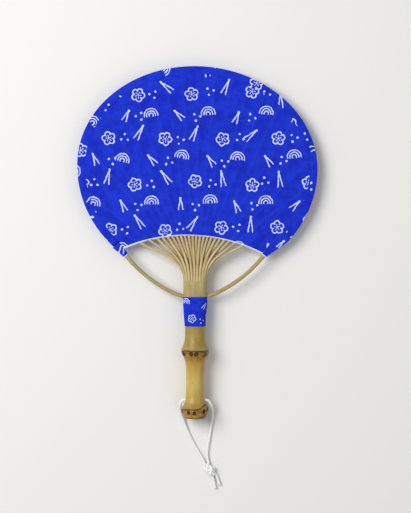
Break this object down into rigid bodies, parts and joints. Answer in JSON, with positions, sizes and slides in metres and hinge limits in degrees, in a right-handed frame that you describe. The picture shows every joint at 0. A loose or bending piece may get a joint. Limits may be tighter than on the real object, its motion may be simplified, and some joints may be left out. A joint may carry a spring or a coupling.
{
  "type": "round uchiwa fan",
  "caption": "Round bamboo hand fan: paper on split ribs with a bow, a round culm handle and a hanging cord that swings.",
  "frame": {"origin": "on the table, under the middle of the fan without its cord, fan lying level and face up", "axes": "+Y along the handle's line towards the top of the head, +X to the fan's right as seen from its face, +Z out of the face"},
  "size_m": [0.2459, 0.4339, 0.028],
  "materials": {
    "bamboo_handle": "natural bamboo skin, satin, with burnished node ridges",
    "bamboo_rib": "split bamboo, dry and matt",
    "bamboo_bow": "round bamboo, satin",
    "printed_paper": "cobalt blue mulberry paper with a pale print, matt",
    "cotton_thread": "white cotton thread",
    "cotton_cord": "white braided cotton cord"
  },
  "bodies": {
    "fan": {"culm_handle": "bamboo_handle", "rib_01": "bamboo_rib", "rib_02": "bamboo_rib", "rib_03": "bamboo_rib", "rib_04": "bamboo_rib", "rib_05": "bamboo_rib", "rib_06": "bamboo_rib", "rib_07": "bamboo_rib", "rib_08": "bamboo_rib", "rib_09": "bamboo_rib", "rib_10": "bamboo_rib", "rib_11": "bamboo_rib", "rib_12": "bamboo_rib", "rib_13": "bamboo_rib", "rib_14": "bamboo_rib", "rib_15": "bamboo_rib", "rib_16": "bamboo_rib", "rib_17": "bamboo_rib", "rib_18": "bamboo_rib", "rib_19": "bamboo_rib", "rib_20": "bamboo_rib", "rib_21": "bamboo_rib", "rib_22": "bamboo_rib", "bow": "bamboo_bow", "weave_thread": "cotton_thread", "front_paper": "printed_paper", "back_paper": "printed_paper", "rim_binding": "printed_paper", "ear_strip_left": "printed_paper", "ear_strip_right": "printed_paper", "waist_band": "printed_paper"},
    "hang_cord": {"cord_left": "cotton_cord", "cord_core": "cotton_cord", "cord_right": "cotton_cord", "cord_knot": "cotton_cord", "cord_tail_left": "cotton_cord", "cord_tail_right": "cotton_cord"}
  },
  "joints": [
    {"name": "cord_swing", "type": "hinge", "parent": "fan", "child": "hang_cord", "pos_m": [-0.0024, -0.16135, 0.014], "axis": [1, 0, 0], "range_deg": [-160, 140]}
  ]
}
